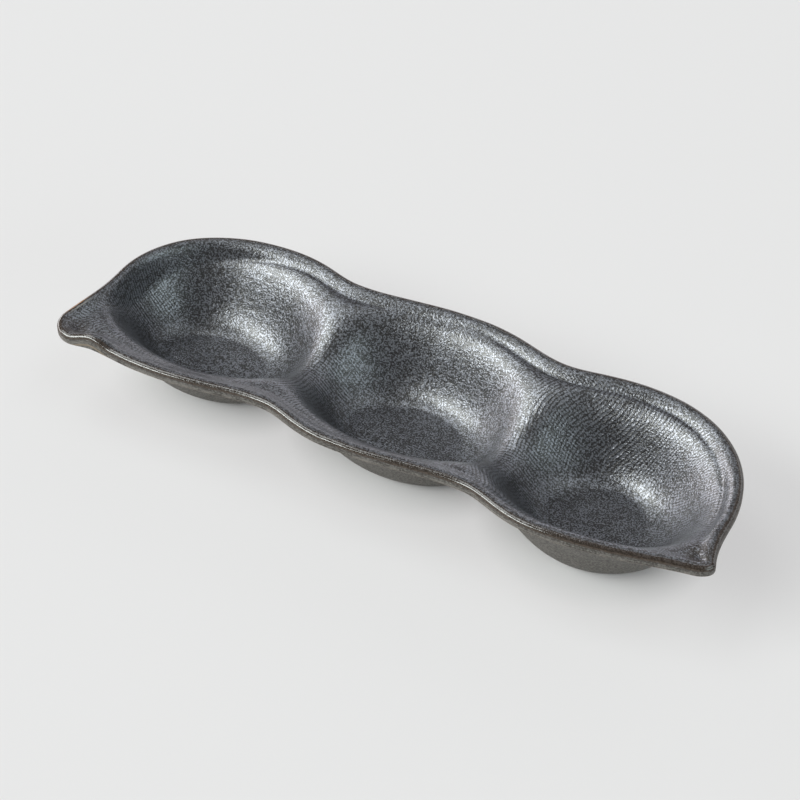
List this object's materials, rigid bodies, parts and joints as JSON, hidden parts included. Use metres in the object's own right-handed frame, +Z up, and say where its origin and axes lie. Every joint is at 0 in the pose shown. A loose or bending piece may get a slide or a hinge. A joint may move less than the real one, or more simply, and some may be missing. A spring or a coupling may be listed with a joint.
{
  "type": "three-compartment dish",
  "caption": "Long shallow dish shaped like a pea pod, with rounded wells joined by low saddles and a raised rim, for serving condiments or small snacks.",
  "frame": {"origin": "On the table plane, under the centre of the dish's outline in plan.", "axes": "+X runs along the pod from its stem to its tip, +Y points to its far side, +Z is up out of the wells."},
  "size_m": [0.2756, 0.0888, 0.0381],
  "materials": {
    "stoneware": "fired stoneware body",
    "dark_glaze": "charcoal glaze with fine silver speckle, satin gloss",
    "matt_glaze": "thin matt taupe glaze",
    "bare_clay": "bare sanded stoneware"
  },
  "bodies": {
    "root": {"clay_tray": "stoneware", "inner_glaze": "dark_glaze", "outer_glaze": "matt_glaze", "foot_ring_stem": "bare_clay", "foot_ring_middle": "bare_clay", "foot_ring_tip": "bare_clay"}
  },
  "joints": []
}
